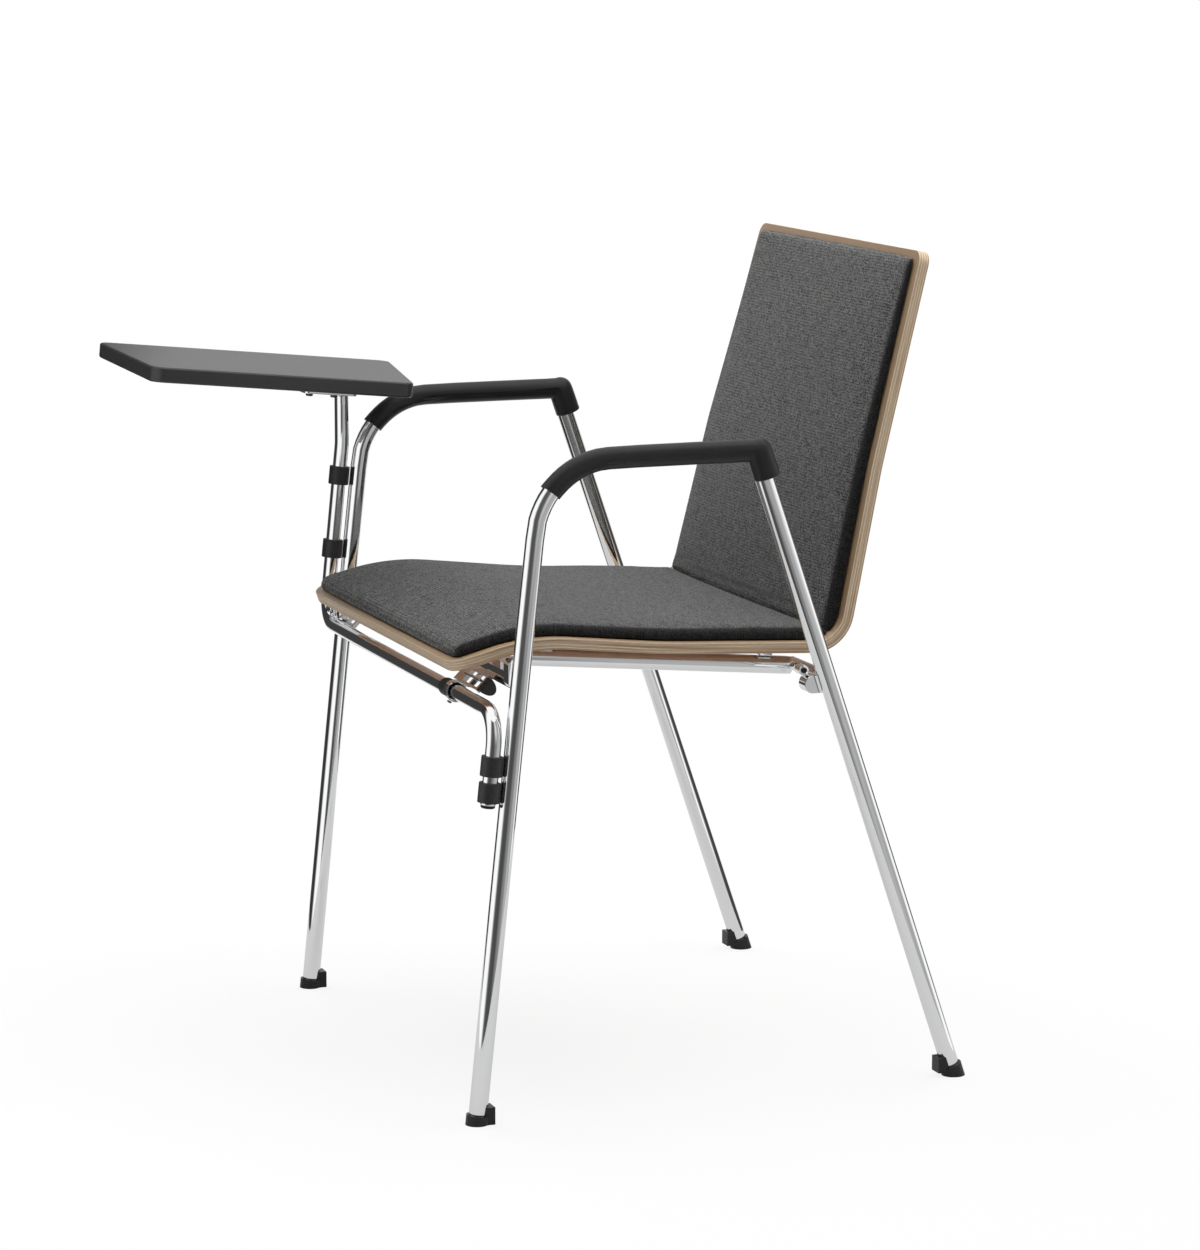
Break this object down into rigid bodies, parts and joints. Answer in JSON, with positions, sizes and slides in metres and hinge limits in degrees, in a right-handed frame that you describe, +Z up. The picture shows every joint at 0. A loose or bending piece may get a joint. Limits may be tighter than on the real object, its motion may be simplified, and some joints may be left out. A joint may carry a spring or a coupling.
{
  "type": "conference armchair with writing tablet",
  "caption": "Stackable armchair: padded bent plywood shell on a chromed tube frame with black arm pads, and a writing tablet that swivels on a bent tube beside the arm.",
  "frame": {"origin": "on the floor, under the centre of the chair's bounding box with the tablet in the writing position", "axes": "+Z up, the sitter faces -Y, +X is the sitter's left; the tablet is on the sitter's right"},
  "size_m": [0.6198, 0.7686, 0.8489],
  "materials": {
    "chrome": "polished chrome plating",
    "plywood": "clear matt lacquer, layers showing at the edge",
    "charcoal_weave": "heathered woven cloth over foam",
    "black_plastic": "satin moulded plastic",
    "black_rubber": "matt rubber",
    "anthracite_board": "fine-textured laminate board",
    "dark_steel": "dark satin steel"
  },
  "bodies": {
    "chair": {"plywood_shell": "plywood", "seat_pad": "charcoal_weave", "back_pad": "charcoal_weave", "left_front_leg": "chrome", "right_front_leg": "chrome", "left_rear_leg": "chrome", "right_rear_leg": "chrome", "left_arm_pad": "black_plastic", "right_arm_pad": "black_plastic", "left_front_glide": "black_plastic", "right_front_glide": "black_plastic", "left_rear_glide": "black_plastic", "right_rear_glide": "black_plastic", "left_seat_rail": "chrome", "right_seat_rail": "chrome", "left_front_clip": "chrome", "right_front_clip": "chrome", "left_rear_clip": "chrome", "right_rear_clip": "chrome", "left_front_bracket": "chrome", "right_front_bracket": "chrome", "left_rear_bracket": "chrome", "right_rear_bracket": "chrome", "left_bracket_plug": "black_plastic", "right_bracket_plug": "black_plastic", "left_tube_holder": "chrome", "right_tube_holder": "chrome", "left_holder_liner": "black_rubber", "left_holder_pin": "chrome", "left_holder_buffer": "black_rubber", "left_holder_screw": "dark_steel", "tablet_tube": "chrome", "tablet_tube_cap": "black_plastic", "right_upper_ring": "black_rubber", "right_lower_ring": "black_rubber", "left_upper_ring": "black_rubber", "left_lower_ring": "black_rubber", "tablet_base_plate": "chrome", "tablet_pivot": "black_plastic", "tablet_bolt_front": "dark_steel", "tablet_bolt_rear": "dark_steel"},
    "tablet": {"tablet_swivel_plate": "dark_steel", "tablet_top": "anthracite_board"}
  },
  "joints": [
    {"name": "tablet_swivel", "type": "hinge", "parent": "chair", "child": "tablet", "pos_m": [-0.28487, -0.10679, 0.705], "axis": [0, -0.0993, -0.9951], "range_deg": [0, 105]}
  ]
}
